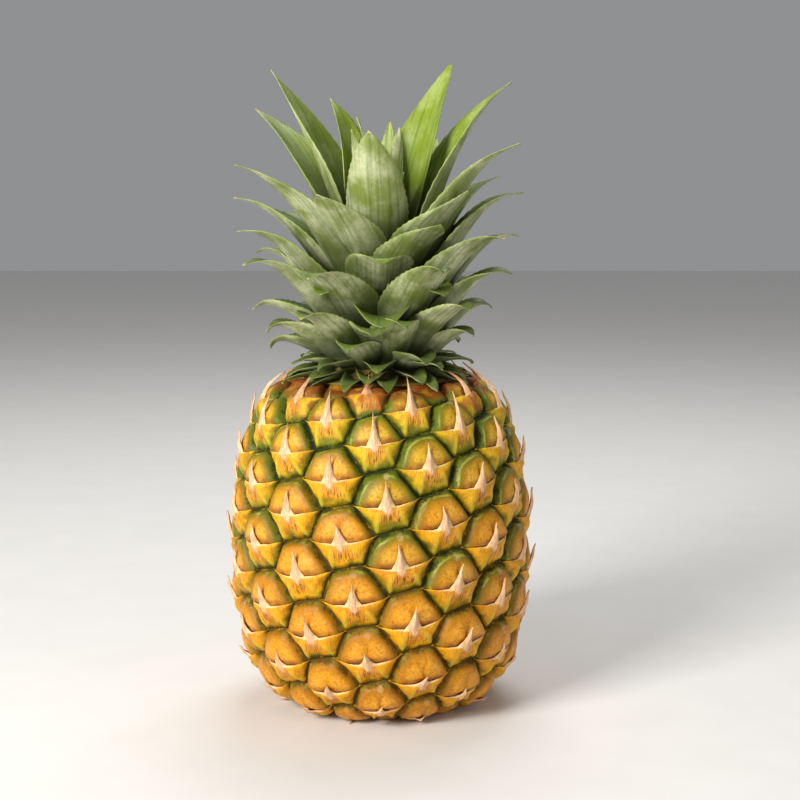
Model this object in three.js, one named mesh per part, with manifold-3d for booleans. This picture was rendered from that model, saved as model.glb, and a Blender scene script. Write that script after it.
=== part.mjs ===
// A pineapple, as picked and trimmed, standing on the small flat of its base.
// Millimetres, +Z up, origin in the middle of the flat base. +X is to the right
// when the fruit is seen from -Y.
//
// The fruit grew as one piece: a barrel covered by eyes, each with a spiky
// bract. The crown is a short stem with leaves around it, each leaf its own solid.
import * as THREE from 'three';
import Module from 'manifold-3d';
import { mergeVertices } from 'three/addons/utils/BufferGeometryUtils.js';
import { ConvexGeometry } from 'three/addons/geometries/ConvexGeometry.js';
import { ParametricGeometry } from 'three/addons/geometries/ParametricGeometry.js';

const wasm = await Module();
wasm.setup();

// ---------------------------------------------------------------- dimensions

// The barrel is two quarter super-ellipses, one below the widest circle and one above.
const FRUIT_HEIGHT = 145.5;
const WIDEST_RADIUS = 65;
const WIDEST_HEIGHT = 71;
const BASE_FLAT_RADIUS = 30;
const TOP_FLAT_RADIUS = 34.5;
const LOWER_FULLNESS = 2.5;
const UPPER_FULLNESS = 2.25;
const FINE_STEPS = 200; // points per quarter that the arc length is measured on

// The eyes follow one spiral. Each is turned from the last by EYE_TURN and stands
// EYE_RISE further up the skin, which makes the rows of 7, 11 and 18.
const EYE_TURN = 99.73;
const EYE_START_TURN = 2.8;
const EYE_START_RISE = 28.9; // arc length above the widest circle
const EYE_RISE = 1.4;
const EYE_RISE_LOSS = 0.0005; // the rows close up a little towards the top
const FIRST_EYE = -78;
const LAST_EYE = 40;
const GROOVE_DEPTH = 3.6; // how far the corners between the eyes lie in
const SHOULDER_SHARE = 0.62; // how much of an eye its flat top takes up
const SHOULDER_RISE = 0.6;
const RIM_POINTS = 12; // where the skin closes, just past the two flats
const RIM_MARGIN = 3;

// Each eye has a bract that ends in a spike.
const SPIKE_LENGTH = 15;
const SPIKE_RADIUS = 2.6;
const SPIKE_LEAN = 20; // degrees out from the skin
const SPIKE_ROOT = 2.5; // this much of it is sunk in the eye
const FULL_EYE_RADIUS = 62; // where the barrel is narrower, the spikes are smaller

// The crown's stem, and the leaves around it in one spiral of the golden angle.
const STEM_FOOT = 145.8;
const STEM_TOP = 204;
const LEAF_COUNT = 57;
const LEAF_TURN = -137.5;
const FRONT_LEAF = 50; // the tall leaf that faces -Y
const FRONT_LEAF_TURN = -2;
const LEAF_STEPS = 7;
const STEM_SIDES = 14;
const LEAF_SIDES = 4;
const LEAF_THICKNESS = 2.4;
const COLLAR_THICKNESS = 1.4;
const TIP_THINNING = 0.5; // the share of its thickness that a leaf loses on the way to the tip
const LEAF_BLUNTNESS = 2.2;
const ROOT_WIDTH = 0.8; // as a share of the leaf's full width
const ROOT_TROUGH = 0.75; // depth of the trough against half its width
const TIP_TROUGH = 0.4;
const GAP = 0.35; // clear space between one solid and the next
const SIMPLE_WITHIN = 0.05; // slivers smaller than this are taken out of a cut solid

// Small dry leaflets around the stem's foot, part of the stem.
const COLLAR_COUNT = 12;
const COLLAR_LEAFLET = {
  rootHeight: 146.9,
  rootRadius: 16,
  tipRadius: 34,
  tipHeight: 147.6,
  width: 7.5,
  rootSlope: 6,
  tipSlope: -4,
};

// How a leaf changes from the lowest (number 0) to the innermost (number 56).
const LEAF_STAGES = [0, 8, 16, 24, 32, 40, 46, 50, 56];
const LEAF_GROWTH = {
  rootHeight: [149, 152, 156, 162, 169, 177, 184, 189, 198],
  rootRadius: [19, 18.5, 18, 17, 15.5, 13, 10.5, 8, 4],
  tipRadius: [38, 48, 57, 62, 64, 65, 56, 40, 10],
  tipHeight: [154, 171, 187, 203, 220, 245, 275, 272, 250],
  width: [19, 21, 23, 25, 26, 26, 25, 22, 12],
  rootSlope: [35, 42, 48, 54, 60, 66, 70, 74, 82],
  tipSlope: [-80, -55, -35, -15, 0, 15, 40, 60, 85],
};

// Leaves that grew a little differently: turned, shorter, lower or wider.
const ODD_LEAVES = {
  1: { reach: 1.3 },
  6: { turn: 3, reach: 1.15 },
  14: { reach: 1.03, lift: -8 },
  16: { turn: 4, reach: 0.9, lift: -16 },
  19: { reach: 1.12, lift: 3 },
  23: { reach: 1.08, lift: 5 },
  24: { lift: -8 },
  29: { turn: -3, reach: 0.72, lift: -40 },
  31: { reach: 0.98, lift: 8 },
  32: { turn: 12, reach: 0.68, lift: -33 },
  34: { reach: 0.7, lift: -40 },
  35: { reach: 1.02, lift: -6 },
  37: { turn: 14, reach: 0.78, lift: -35, wide: 1.1 },
  39: { reach: 0.98, lift: 5 },
  40: { reach: 1.02, lift: -7 },
  42: { turn: 16, reach: 0.72, lift: -42 },
  43: { turn: -4, reach: 1.12, lift: 3, wide: 1.1 },
  44: { lift: 9, wide: 1.1 },
  45: { reach: 0.8, lift: -44 },
  46: { turn: 45, reach: 0.5, lift: -8, wide: 0.9 },
  47: { turn: 8, reach: 0.85, lift: -47 },
  48: { turn: -25, reach: 1.1, lift: 6, wide: 1.2 },
  49: { lift: 10, wide: 1.25 },
  50: { turn: -5, reach: 0.8, lift: -20, wide: 1.12 },
  51: { turn: 60, reach: 0.3, lift: -10, wide: 0.6 },
  52: { turn: 10, reach: 0.35, lift: -30, wide: 0.8 },
  53: { reach: 0.6, lift: -8, wide: 0.8 },
};

// ------------------------------------------------------------------- helpers

const UP = new THREE.Vector3(0, 0, 1);

// A closed three.js geometry as a manifold solid.
function toSolid(geometry) {
  geometry.deleteAttribute('normal');
  geometry.deleteAttribute('uv');
  const merged = mergeVertices(geometry, 1e-4);
  const corners = merged.index.array;
  const kept = [];
  for (let i = 0; i < corners.length; i += 3) {
    const [a, b, c] = [corners[i], corners[i + 1], corners[i + 2]];
    if (a !== b && b !== c && c !== a) kept.push(a, b, c);
  }
  return new wasm.Manifold(new wasm.Mesh({
    numProp: 3,
    vertProperties: new Float32Array(merged.attributes.position.array),
    triVerts: new Uint32Array(kept),
  }));
}

// A manifold solid as a three.js geometry with flat faces.
function toGeometry(solid) {
  const mesh = solid.getMesh();
  const geometry = new THREE.BufferGeometry();
  geometry.setAttribute('position', new THREE.BufferAttribute(mesh.vertProperties, 3));
  geometry.setIndex(new THREE.BufferAttribute(mesh.triVerts, 1));
  geometry.computeVertexNormals();
  return geometry;
}

// The largest of the separate bodies that a solid holds.
function largestBody(solid) {
  const bodies = solid.simplify(SIMPLE_WITHIN).decompose();
  return bodies.reduce((best, body) => (body.volume() > best.volume() ? body : best));
}

// A value at `place` between the given stages.
function between(stages, values, place) {
  let i = 0;
  while (i < stages.length - 2 && place > stages[i + 1]) i += 1;
  return THREE.MathUtils.mapLinear(place, stages[i], stages[i + 1], values[i], values[i + 1]);
}

// Directions around the axis at a turn in degrees: 0 faces -Y, 90 faces +X.
function outward(turn) {
  const angle = THREE.MathUtils.degToRad(turn);
  return new THREE.Vector3(Math.sin(angle), -Math.cos(angle), 0);
}

function addPart(group, name, solid, color, roughness) {
  const material = new THREE.MeshStandardMaterial({ color, roughness, metalness: 0 });
  const mesh = new THREE.Mesh(toGeometry(solid), material);
  mesh.name = name;
  group.add(mesh);
}

// -------------------------------------------------------------- fruit profile

// Points (radius, height) up the outside of the fruit, `steps` per quarter.
function fruitProfile(steps) {
  const points = [];
  for (let i = 0; i <= steps; i += 1) {
    const angle = (Math.PI / 2) * (i / steps);
    const power = 2 / LOWER_FULLNESS;
    const spread = WIDEST_RADIUS - BASE_FLAT_RADIUS;
    const height = WIDEST_HEIGHT * (1 - Math.cos(angle) ** power);
    points.push(new THREE.Vector2(BASE_FLAT_RADIUS + spread * Math.sin(angle) ** power, height));
  }
  for (let i = 1; i <= steps; i += 1) {
    const angle = (Math.PI / 2) * (i / steps);
    const power = 2 / UPPER_FULLNESS;
    const spread = WIDEST_RADIUS - TOP_FLAT_RADIUS;
    const rise = (FRUIT_HEIGHT - WIDEST_HEIGHT) * Math.sin(angle) ** power;
    const radius = TOP_FLAT_RADIUS + spread * Math.cos(angle) ** power;
    points.push(new THREE.Vector2(radius, WIDEST_HEIGHT + rise));
  }
  return points;
}

const finePoints = fruitProfile(FINE_STEPS);
const fineArc = [0];
for (let i = 1; i < finePoints.length; i += 1) {
  fineArc.push(fineArc[i - 1] + finePoints[i].distanceTo(finePoints[i - 1]));
}
const widestArc = fineArc[FINE_STEPS];

// Place, outward normal and upward tangent on the skin, `rise` along it from the widest circle.
function skinAt(turn, rise) {
  const arc = widestArc + rise;
  let i = 1;
  while (i < fineArc.length - 1 && fineArc[i] < arc) i += 1;
  const [low, high] = [finePoints[i - 1], finePoints[i]];
  const spot = low.clone().lerp(high, (arc - fineArc[i - 1]) / (fineArc[i] - fineArc[i - 1]));
  const step = high.clone().sub(low).normalize();
  const out = outward(turn);
  const point = out.clone().multiplyScalar(spot.x).addScaledVector(UP, spot.y);
  const tangent = out.clone().multiplyScalar(step.x).addScaledVector(UP, step.y);
  const normal = out.clone().multiplyScalar(step.y).addScaledVector(UP, -step.x);
  return { point, tangent, normal, radius: spot.x };
}

// ---------------------------------------------------------------------- fruit

function eyeFrame(number) {
  const rise = EYE_START_RISE + EYE_RISE * number - EYE_RISE_LOSS * number * number;
  return skinAt(EYE_START_TURN + EYE_TURN * number, rise);
}

// The eyes as one closed skin. The hull of the eyes' middles gives the triangles between
// neighbours; the middle of each triangle is a low corner where three eyes meet.
function eyeSkin() {
  const places = [];
  const normals = [];
  for (let number = FIRST_EYE; number <= LAST_EYE; number += 1) {
    const { point, normal } = eyeFrame(number);
    places.push(point);
    normals.push(normal);
  }
  const eyeCount = places.length;
  for (let i = 0; i < RIM_POINTS; i += 1) {
    const out = outward((360 * i) / RIM_POINTS);
    const rims = [[BASE_FLAT_RADIUS, -RIM_MARGIN], [TOP_FLAT_RADIUS, FRUIT_HEIGHT + RIM_MARGIN]];
    for (const [radius, height] of rims) {
      places.push(out.clone().multiplyScalar(radius).addScaledVector(UP, height));
      normals.push(new THREE.Vector3());
    }
  }

  const hull = new ConvexGeometry(places).attributes.position;
  const triangles = [];
  for (let i = 0; i < hull.count; i += 3) {
    const corners = [0, 1, 2].map((k) => {
      const corner = new THREE.Vector3().fromBufferAttribute(hull, i + k);
      return places.findIndex((place) => place.distanceTo(corner) < 1e-3);
    });
    const [a, b, c] = corners.map((k) => places[k]);
    const facing = b.clone().sub(a).cross(c.clone().sub(a)).normalize();
    const low = a.clone().add(b).add(c).divideScalar(3);
    if (corners.some((k) => k < eyeCount)) low.addScaledVector(facing, -GROOVE_DEPTH);
    triangles.push({ corners, low });
  }

  const beside = new Map();
  for (const triangle of triangles) {
    triangle.corners.forEach((from, k) => {
      beside.set(`${from} ${triangle.corners[(k + 1) % 3]}`, triangle);
    });
  }
  const shoulder = (eye, triangle) => {
    const spot = places[eye].clone().lerp(triangle.low, SHOULDER_SHARE);
    return spot.addScaledVector(normals[eye], SHOULDER_RISE);
  };
  const faces = [];
  for (const triangle of triangles) {
    triangle.corners.forEach((eye, k) => {
      const next = beside.get(`${triangle.corners[(k + 1) % 3]} ${eye}`);
      const [near, far] = [shoulder(eye, triangle), shoulder(eye, next)];
      faces.push(places[eye], far, near, near, far, next.low, near, next.low, triangle.low);
    });
  }
  return toSolid(new THREE.BufferGeometry().setFromPoints(faces));
}

// The spike of an eye's bract, leaning up the skin and a little away from it.
function spike(number) {
  const { point, tangent, normal, radius } = eyeFrame(number);
  const side = new THREE.Vector3().crossVectors(tangent, normal);
  const lean = THREE.MathUtils.degToRad(SPIKE_LEAN);
  const along = tangent.clone().multiplyScalar(Math.cos(lean)).addScaledVector(normal, Math.sin(lean));
  const away = new THREE.Vector3().crossVectors(side, along);
  const size = Math.min(1, Math.sqrt(radius / FULL_EYE_RADIUS));
  const cone = new THREE.ConeGeometry(SPIKE_RADIUS, SPIKE_LENGTH, 3);
  cone.translate(0, SPIKE_LENGTH / 2 - SPIKE_ROOT, 0).scale(size, size, size);
  cone.applyMatrix4(new THREE.Matrix4().makeBasis(side, along, away).setPosition(point));
  return toSolid(cone);
}

function fruit() {
  let solid = eyeSkin();
  for (let number = FIRST_EYE; number <= LAST_EYE; number += 1) solid = solid.add(spike(number));
  // Nothing reaches below the flat that the fruit stands on, or into the crown's seat.
  const size = WIDEST_RADIUS * 4;
  const slab = toSolid(new THREE.BoxGeometry(size, size, size));
  solid = solid.subtract(slab.translate([0, 0, -size / 2]));
  return largestBody(solid.subtract(slab.translate([0, 0, FRUIT_HEIGHT + size / 2])));
}

// ---------------------------------------------------------------------- crown

// The stem runs just inside the roots of the leaves, with a collar of leaflets at its
// foot. `extra` makes a thicker copy.
function stem(extra) {
  const outline = [new THREE.Vector2(0, STEM_FOOT - extra)];
  LEAF_STAGES.forEach((stage, i) => {
    const height = i === 0 ? STEM_FOOT - extra : LEAF_GROWTH.rootHeight[i];
    outline.push(new THREE.Vector2(LEAF_GROWTH.rootRadius[i] - 0.5 + extra, height));
  });
  outline.push(new THREE.Vector2(0, STEM_TOP + extra));
  let solid = toSolid(new THREE.LatheGeometry(outline, STEM_SIDES).rotateX(Math.PI / 2));
  for (let i = 0; i < COLLAR_COUNT; i += 1) {
    const plan = { ...COLLAR_LEAFLET, turn: (360 * i) / COLLAR_COUNT };
    solid = solid.add(leaf(plan, COLLAR_THICKNESS, extra));
  }
  return solid;
}

function leafPlan(number) {
  const plan = {};
  for (const [name, values] of Object.entries(LEAF_GROWTH)) {
    plan[name] = between(LEAF_STAGES, values, number);
  }
  const { turn = 0, reach = 1, lift = 0, wide = 1 } = ODD_LEAVES[number] ?? {};
  plan.turn = FRONT_LEAF_TURN + LEAF_TURN * (number - FRONT_LEAF) + turn;
  plan.tipRadius *= reach;
  plan.tipHeight += lift;
  plan.width *= wide;
  return plan;
}

// The middle line of a leaf in its own upright plane: x is the distance from the axis.
function leafCurve(plan) {
  const root = new THREE.Vector2(plan.rootRadius, plan.rootHeight);
  const tip = new THREE.Vector2(plan.tipRadius, plan.tipHeight);
  const handle = 0.38 * root.distanceTo(tip);
  const rootSlope = THREE.MathUtils.degToRad(plan.rootSlope);
  const tipSlope = THREE.MathUtils.degToRad(plan.tipSlope);
  const leaving = new THREE.Vector2(Math.cos(rootSlope), Math.sin(rootSlope));
  const arriving = new THREE.Vector2(Math.cos(tipSlope), Math.sin(tipSlope));
  const second = root.clone().addScaledVector(leaving, handle);
  const third = tip.clone().addScaledVector(arriving, -0.8 * handle);
  return new THREE.CubicBezierCurve(root, second, third, tip);
}

// A leaf is a trough: its margins stand up towards the stem, and it ends in a point.
function leaf(plan, thickness, extra) {
  const curve = leafCurve(plan);
  const out = outward(plan.turn);
  const side = outward(plan.turn + 90);
  const surface = (around, along, target) => {
    const share = Math.max(0, (along * LEAF_STEPS - 1) / (LEAF_STEPS - 1));
    const spot = curve.getPoint(share);
    const step = curve.getTangent(share);
    const inward = out.clone().multiplyScalar(-step.y).addScaledVector(UP, step.x);
    const taper = along === 0 ? 0 : (1 - share ** LEAF_BLUNTNESS) ** 0.9;
    const half = (plan.width / 2) * Math.min(1, ROOT_WIDTH + share) + extra / 2;
    const across = -half * taper * Math.cos(2 * Math.PI * around);
    const trough = ((ROOT_TROUGH + (TIP_TROUGH - ROOT_TROUGH) * share) * across * across) / half;
    const thick = (thickness * (1 - TIP_THINNING * share)) / 2 + extra;
    const depth = trough - thick * taper * Math.sin(2 * Math.PI * around);
    target.copy(out).multiplyScalar(spot.x).addScaledVector(UP, spot.y);
    target.addScaledVector(side, across).addScaledVector(inward, depth);
  };
  return toSolid(new ParametricGeometry(surface, LEAF_SIDES, LEAF_STEPS));
}

// ------------------------------------------------------------------- assembly

const FRUIT_COLOR = 0xc9952b;
const STEM_COLOR = 0x8f8a4a;
const LOW_LEAF_COLOR = new THREE.Color(0x7f8c66);
const HIGH_LEAF_COLOR = new THREE.Color(0x8aa02c);

const pineapple = new THREE.Group();
addPart(pineapple, 'fruit', fruit(), FRUIT_COLOR, 0.45);
addPart(pineapple, 'crown_stem', stem(0), STEM_COLOR, 0.7);

const blockers = [stem(GAP)];
for (let number = 0; number < LEAF_COUNT; number += 1) {
  const plan = leafPlan(number);
  let solid = leaf(plan, LEAF_THICKNESS, 0);
  for (const blocker of blockers) solid = solid.subtract(blocker);
  blockers.push(leaf(plan, LEAF_THICKNESS, GAP));
  const color = LOW_LEAF_COLOR.clone().lerp(HIGH_LEAF_COLOR, number / (LEAF_COUNT - 1));
  const name = `leaf_${String(number + 1).padStart(2, '0')}`;
  addPart(pineapple, name, largestBody(solid), color, 0.55);
}

export default pineapple;
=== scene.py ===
# %% [markdown]
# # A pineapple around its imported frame
# The frame holds the plain solids: the fruit, the stem of the crown and the leaves.
# This lesson grows the fine surface over them. Everything is worked out in
# millimetres, in the frame's own axes, and made metres when a piece is finished.

# %% Load the frame
import math
import random
from bisect import bisect_right

import bmesh
import bpy
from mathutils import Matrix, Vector, noise


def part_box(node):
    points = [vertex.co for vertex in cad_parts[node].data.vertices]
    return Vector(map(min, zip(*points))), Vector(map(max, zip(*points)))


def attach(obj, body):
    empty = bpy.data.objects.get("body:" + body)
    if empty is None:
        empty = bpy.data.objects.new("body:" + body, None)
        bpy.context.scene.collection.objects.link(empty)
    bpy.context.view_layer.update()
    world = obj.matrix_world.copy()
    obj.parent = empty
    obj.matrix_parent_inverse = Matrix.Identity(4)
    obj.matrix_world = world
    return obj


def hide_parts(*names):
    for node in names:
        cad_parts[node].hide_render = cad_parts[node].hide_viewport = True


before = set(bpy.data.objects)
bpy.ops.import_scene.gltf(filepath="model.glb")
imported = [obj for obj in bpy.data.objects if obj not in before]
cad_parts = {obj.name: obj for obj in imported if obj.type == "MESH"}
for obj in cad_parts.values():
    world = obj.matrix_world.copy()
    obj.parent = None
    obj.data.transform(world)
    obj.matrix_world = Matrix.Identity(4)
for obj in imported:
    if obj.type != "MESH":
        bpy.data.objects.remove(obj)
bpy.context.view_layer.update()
MM = 0.001
fruit_low, fruit_high = [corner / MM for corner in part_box("fruit")]
print("fruit stands from", round(fruit_low.z, 1), "to", round(fruit_high.z, 1))

# %% [markdown]
# ## Camera, floor and light
# The camera looks slightly down from three quarters of a metre, which keeps the
# perspective of a close product view. One large soft light stands at the front left,
# as in a small studio, a weak warm one fills the right side, and a third shines down
# from behind, so that the crown's leaves stand out from one another.

# %% Camera
AIM = Vector((8.6, 0.0, 134.7)) * MM
CAMERA_DISTANCE = 753.0 * MM
CAMERA_ELEVATION = math.radians(8.0)
SENSOR = 36.0
LENS = 76.5

camera_data = bpy.data.cameras.new("camera")
camera_data.sensor_width = SENSOR
camera_data.lens = LENS
camera = bpy.data.objects.new("camera", camera_data)
away = Vector((0.0, -math.cos(CAMERA_ELEVATION), math.sin(CAMERA_ELEVATION)))
camera.location = AIM + away * CAMERA_DISTANCE
camera.rotation_euler = (-away).to_track_quat("-Z", "Y").to_euler()
bpy.context.scene.collection.objects.link(camera)
bpy.context.scene.camera = camera
print("camera at", [round(value, 3) for value in camera.location])


# %% Lights and surroundings
WORLD_TINT = (0.96, 0.97, 1.0, 1.0)
WORLD_STRENGTH = 0.29


def area_light(name, place, size, power, tint):
    """A square soft light at a place in metres, turned towards the fruit."""
    data = bpy.data.lights.new(name, "AREA")
    data.size = size
    data.energy = power
    data.color = tint
    light = bpy.data.objects.new(name, data)
    light.location = place
    light.rotation_euler = (AIM - Vector(place)).to_track_quat("-Z", "Y").to_euler()
    bpy.context.scene.collection.objects.link(light)


area_light("key_light", place=(-0.8, -0.95, 0.7), size=0.5, power=24.0, tint=(1.0, 0.985, 0.95))
area_light("fill_light", place=(1.1, -0.7, 0.4), size=0.8, power=2.0, tint=(1.0, 0.93, 0.84))
area_light("top_light", place=(0.1, 0.5, 1.1), size=0.6, power=6.0, tint=(1.0, 1.0, 1.0))

world = bpy.data.worlds.new("studio")
world.use_nodes = True
surroundings = world.node_tree.nodes["Background"]
surroundings.inputs["Color"].default_value = WORLD_TINT
surroundings.inputs["Strength"].default_value = WORLD_STRENGTH
bpy.context.scene.world = world


# %% [markdown]
# ## A short way to write materials
# A material is a small graph of nodes. This helper adds a node, sets its inputs from
# values or from other nodes' outputs, and gives back its output, so that a finish
# reads from top to bottom like a recipe.

# %% Material helper
class Finish:
    """One material whose nodes are added by name."""

    def __init__(self, name):
        self.material = bpy.data.materials.new(name)
        self.material.use_nodes = True
        self.tree = self.material.node_tree
        self.shader = self.tree.nodes["Principled BSDF"]

    def feed(self, socket, value):
        if isinstance(value, bpy.types.NodeSocket):
            self.tree.links.new(value, socket)
        else:
            socket.default_value = value

    def add(self, kind, inputs, output=0, **settings):
        node = self.tree.nodes.new(kind)
        for name, value in settings.items():
            setattr(node, name, value)
        for name, value in inputs.items():
            self.feed(node.inputs[name], value)
        return node.outputs[output]

    def attribute(self, name):
        return self.add("ShaderNodeAttribute", {}, "Fac", attribute_name=name)

    def math(self, operation, first, second=0.0):
        return self.add("ShaderNodeMath", {0: first, 1: second}, operation=operation)

    def squares(self, first, second):
        """The squares of two values, added."""
        return self.math("ADD", *[self.math("MULTIPLY", value, value) for value in (first, second)])

    def fade(self, value, low, high, to_low=0.0, to_high=1.0):
        """The value, spread smoothly from low..high to to_low..to_high."""
        inputs = {"Value": value, "From Min": low, "From Max": high, "To Min": to_low, "To Max": to_high}
        return self.add("ShaderNodeMapRange", inputs, interpolation_type="SMOOTHSTEP")

    def mix(self, share, first, second, blend="MIX"):
        """Two colours mixed by a share from 0 to 1."""
        node = self.tree.nodes.new("ShaderNodeMix")
        node.data_type = "RGBA"
        node.blend_type = blend
        self.feed(node.inputs[0], share)
        self.feed(node.inputs[6], first)
        self.feed(node.inputs[7], second)
        return node.outputs[2]

    def noise(self, vector, scale, detail=3.0, roughness=0.55):
        inputs = {"Vector": vector, "Scale": scale, "Detail": detail, "Roughness": roughness}
        return self.add("ShaderNodeTexNoise", inputs)

    def stretched(self, vector, stretch):
        return self.add("ShaderNodeMapping", {"Vector": vector, "Scale": stretch})

    def bump(self, height, strength, distance):
        inputs = {"Height": height, "Strength": strength, "Distance": distance}
        self.feed(self.shader.inputs["Normal"], self.add("ShaderNodeBump", inputs))

    def coordinates(self):
        return self.add("ShaderNodeTexCoord", {}, "Object")

    def set(self, **inputs):
        for name, value in inputs.items():
            self.feed(self.shader.inputs[name.replace("_", " ")], value)
        return self.material


def color(red, green, blue):
    """A colour given as the eye names it, 0 to 255, made linear for the shader."""
    return tuple(((value / 255 + 0.055) / 1.055) ** 2.4 for value in (red, green, blue)) + (1.0,)


# %% Floor
FLOOR_SIZE = 6.0
FLOOR_GAP = 0.0003
floor_mesh = bpy.data.meshes.new("floor")
floor_form = bmesh.new()
bmesh.ops.create_grid(floor_form, x_segments=1, y_segments=1, size=FLOOR_SIZE / 2)
bmesh.ops.translate(floor_form, vec=(0, 0, -FLOOR_GAP), verts=floor_form.verts)
floor_form.to_mesh(floor_mesh)
floor_form.free()
floor = bpy.data.objects.new("floor", floor_mesh)
bpy.context.scene.collection.objects.link(floor)
floor_finish = Finish("pale_floor")
floor_grain = floor_finish.noise(floor_finish.coordinates(), 30.0)
floor_tone = floor_finish.mix(floor_grain, color(226, 224, 220), color(234, 232, 229))
floor_mesh.materials.append(floor_finish.set(Base_Color=floor_tone, Roughness=0.75))


# %% [markdown]
# ## The skin as a map
# A pineapple's eyes sit on one spiral. Unrolled, with the turn around the fruit across
# and the way up the skin upwards, they make a perfectly regular grid of leaning
# hexagons. So every eye can be drawn once, flat, and laid on the barrel through this
# map. The barrel's outline is two quarter super-ellipses that meet at the widest circle.

# %% Outline of the barrel
FRUIT_HEIGHT = fruit_high.z
WIDEST_RADIUS = 65.0
WIDEST_HEIGHT = 71.0
BASE_FLAT_RADIUS = 30.0
TOP_FLAT_RADIUS = 34.5
LOWER_FULLNESS = 2.5
UPPER_FULLNESS = 2.25
FINE_STEPS = 400
SEAT_SLOPE = math.radians(52.0)


def quarter(share, flat_radius, fullness):
    """Radius, and height as a share, up one quarter of the outline."""
    angle = math.pi / 2 * share
    radius = flat_radius + (WIDEST_RADIUS - flat_radius) * math.sin(angle) ** (2 / fullness)
    return radius, 1 - max(0.0, math.cos(angle)) ** (2 / fullness)


outline = []
for step in range(FINE_STEPS + 1):
    radius, height = quarter(step / FINE_STEPS, BASE_FLAT_RADIUS, LOWER_FULLNESS)
    outline.append(Vector((radius, WIDEST_HEIGHT * height)))
for step in range(FINE_STEPS - 1, -1, -1):
    radius, height = quarter(step / FINE_STEPS, TOP_FLAT_RADIUS, UPPER_FULLNESS)
    outline.append(Vector((radius, FRUIT_HEIGHT - (FRUIT_HEIGHT - WIDEST_HEIGHT) * height)))
arcs = [0.0]
for before, after in zip(outline, outline[1:]):
    arcs.append(arcs[-1] + (after - before).length)
widest_arc = arcs[FINE_STEPS]
print("the skin is", round(arcs[-1]), "mm long from flat to flat")


# %% A place on the skin
def outward(turn):
    """The direction away from the axis: 0 degrees faces -Y and 90 faces +X."""
    return Vector((math.sin(math.radians(turn)), -math.cos(math.radians(turn)), 0.0))


def skin_section(rise):
    """Radius and height, and the step up the skin, this far up from the widest circle."""
    arc = widest_arc + rise
    if arc <= 0:
        return Vector((outline[0].x, arc)), Vector((0.0, 1.0))
    if arc >= arcs[-1]:
        step = Vector((-math.sin(SEAT_SLOPE), math.cos(SEAT_SLOPE)))
        return outline[-1] + step * (arc - arcs[-1]), step
    i = bisect_right(arcs, arc)
    step = outline[i] - outline[i - 1]
    spot = outline[i - 1] + step * ((arc - arcs[i - 1]) / (arcs[i] - arcs[i - 1]))
    return spot, step.normalized()


def skin_place(turn, rise, height):
    """A point `height` mm above the skin."""
    spot, step = skin_section(rise)
    return outward(turn) * (spot.x + height * step.y) + Vector((0, 0, spot.y - height * step.x))


# %% [markdown]
# ## Where the eyes are
# Each eye is turned a little over a quarter circle from the last and stands a little
# further up. Its neighbours are 7, 11 and 18 places along the spiral, which are the
# three families of rows that can be counted on the real fruit.

# %% The spiral of eyes
EYE_TURN = 99.73
EYE_START_TURN = 2.8
EYE_START_RISE = 28.9
EYE_RISE = 1.4
EYE_RISE_LOSS = 0.00027
FIRST_EYE = -92
LAST_EYE = 66
DEGREES_PER_MM = math.degrees(1 / WIDEST_RADIUS)


def on_fruit(eye, across, up, height):
    """A point of an eye, given in its own flat mm, put on the fruit."""
    climb = EYE_RISE * eye + up
    rise = EYE_START_RISE + climb - EYE_RISE_LOSS * climb * climb
    turn = EYE_START_TURN + EYE_TURN * eye + across * DEGREES_PER_MM
    return skin_place(turn, rise, height)


def step_to(count):
    """How far across and up the eye `count` places along the spiral is."""
    turn = (EYE_TURN * count + 180) % 360 - 180
    return Vector((turn / DEGREES_PER_MM, EYE_RISE * count))


def middle_of(first, second):
    """The point as far from an eye as from two of its neighbours."""
    across, up = first, second
    half_first, half_second = across.length_squared / 2, up.length_squared / 2
    spread = across.x * up.y - across.y * up.x
    return Vector((
        (half_first * up.y - half_second * across.y) / spread,
        (across.x * half_second - up.x * half_first) / spread,
    ))


around = [step_to(count) for count in (-7, 11, 18, 7, -11, -18)]
cell_corners = [middle_of(around[i], around[(i + 1) % 6]) for i in range(6)]
print("rows:", [tuple(round(value, 1) for value in step) for step in around])
print("corners of an eye:", [tuple(round(value, 1) for value in corner) for corner in cell_corners])


# %% Which eyes touch the fruit, and how they differ
def eye_section(eye):
    climb = EYE_RISE * eye
    return skin_section(EYE_START_RISE + climb - EYE_RISE_LOSS * climb * climb)[0]


def size_of(eye):
    """Eyes on the narrower ends of the barrel are smaller."""
    return min(1.0, math.sqrt(eye_section(eye).x / 62.0))


random.seed(7)
eye_tone = {eye: random.random() for eye in range(FIRST_EYE, LAST_EYE + 1)}


# %% [markdown]
# ## One eye
# An eye is a six-sided cushion. Its edge falls steeply into the groove that it shares
# with its neighbours. It starts as a small disc, and each ring around it is extruded
# from the last, so the rings can crowd together where the edge is steep. The lower
# half is kept low, because the bract lies on it.

# %% Heights of an eye
GROOVE_DEPTH = 3.4
EYE_SWELL = 1.9
EYE_MIDDLE = Vector((0.0, 1.5))
EYE_REACH = 13.2
COVERED_SHARE = 0.68
HOLLOW_DEPTH = 1.3
HOLLOW_ABOVE_LIP = 1.3
HOLLOW_HALF_HEIGHT = 1.5
HOLLOW_HALF_WIDTH = 6.5
CREASE_DEPTH = 0.6
CREASE_HALF_WIDTH = 0.6
RING_PLACES = (0.14, 0.28, 0.42, 0.55, 0.66, 0.75, 0.82, 0.88, 0.925, 0.965, 1.0)
SIDE_STEPS = 6


def smooth(value, low, high):
    share = min(1.0, max(0.0, (value - low) / (high - low)))
    return share * share * (3 - 2 * share)


def bell(distance, half_width):
    """1 in the middle, falling away smoothly on both sides."""
    return math.exp(-((distance / half_width) ** 2))


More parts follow.
